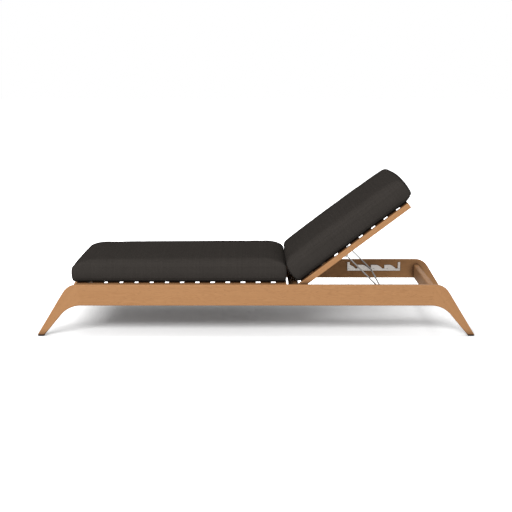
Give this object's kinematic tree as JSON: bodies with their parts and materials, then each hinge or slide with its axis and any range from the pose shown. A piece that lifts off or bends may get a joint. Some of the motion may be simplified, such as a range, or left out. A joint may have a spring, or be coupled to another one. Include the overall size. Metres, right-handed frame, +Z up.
{
  "type": "sun lounger",
  "caption": "Slatted timber sun lounger with splayed legs, an adjustable reclining backrest on a steel prop bail, and charcoal cushions.",
  "frame": {"origin": "on the floor, midway between the four feet", "axes": "+X towards the head end, +Y towards the right side of the person lying on it, +Z up"},
  "size_m": [2.0918, 0.7, 0.7356],
  "materials": {
    "frame_wood": "oiled, satin",
    "slat_wood": "oiled, satin",
    "joint_wood": "raw",
    "cushion_fabric": "woven, matte",
    "steel_plate": "brushed",
    "steel_rod": "satin",
    "fastener_steel": "plain",
    "glide_plastic": "matte",
    "bush_plastic": "matte"
  },
  "bodies": {
    "frame": {"corner_dowels": "joint_wood", "cross_rail_tenons": "joint_wood", "foot_cross_rail": "frame_wood", "foot_glide_screws": "fastener_steel", "foot_glides": "glide_plastic", "foot_leg_left": "frame_wood", "foot_leg_right": "frame_wood", "head_cross_rail": "frame_wood", "head_leg_left": "frame_wood", "head_leg_right": "frame_wood", "hinge_bolts": "fastener_steel", "hinge_inserts": "fastener_steel", "hinge_washers": "fastener_steel", "middle_cross_rail": "frame_wood", "rack_left": "steel_plate", "rack_right": "steel_plate", "rack_screws": "fastener_steel", "seat_cushion": "cushion_fabric", "seat_panel_screws": "fastener_steel", "seat_panel_spacers": "fastener_steel", "seat_rail_left": "frame_wood", "seat_rail_right": "frame_wood", "seat_slat_01": "slat_wood", "seat_slat_02": "slat_wood", "seat_slat_03": "slat_wood", "seat_slat_04": "slat_wood", "seat_slat_05": "slat_wood", "seat_slat_06": "slat_wood", "seat_slat_07": "slat_wood", "seat_slat_08": "slat_wood", "seat_slat_09": "slat_wood", "seat_slat_10": "slat_wood", "seat_slat_11": "slat_wood", "seat_slat_12": "slat_wood", "seat_slat_13": "slat_wood", "seat_slat_14": "slat_wood", "side_rail_left": "frame_wood", "side_rail_right": "frame_wood"},
    "backrest": {"back_cushion": "cushion_fabric", "back_rail_left": "frame_wood", "back_rail_right": "frame_wood", "back_slat_01": "slat_wood", "back_slat_02": "slat_wood", "back_slat_03": "slat_wood", "back_slat_04": "slat_wood", "back_slat_05": "slat_wood", "back_slat_06": "slat_wood", "back_slat_07": "slat_wood", "back_slat_08": "slat_wood", "back_slat_09": "slat_wood", "back_slat_10": "slat_wood", "hinge_bushes": "bush_plastic", "prop_bracket_left": "steel_plate", "prop_bracket_right": "steel_plate", "prop_bracket_screws": "fastener_steel", "prop_pins": "fastener_steel"},
    "prop": {"prop_crossbar": "steel_rod", "prop_leg_left": "steel_rod", "prop_leg_right": "steel_rod"}
  },
  "joints": [
    {"name": "backrest_recline", "type": "hinge", "parent": "frame", "child": "backrest", "pos_m": [0.21005, 0, 0.236], "axis": [0, -1, 0], "range_deg": [-37.2, 9.8]},
    {"name": "prop_swing", "type": "hinge", "parent": "backrest", "child": "prop", "pos_m": [0.43306, 0, 0.38017], "axis": [0, -1, 0], "range_deg": [-21.6, 81.9]}
  ],
  "couplings": [
    {"joint": "prop_swing", "follows": "backrest_recline", "ratio": -2.2}
  ]
}
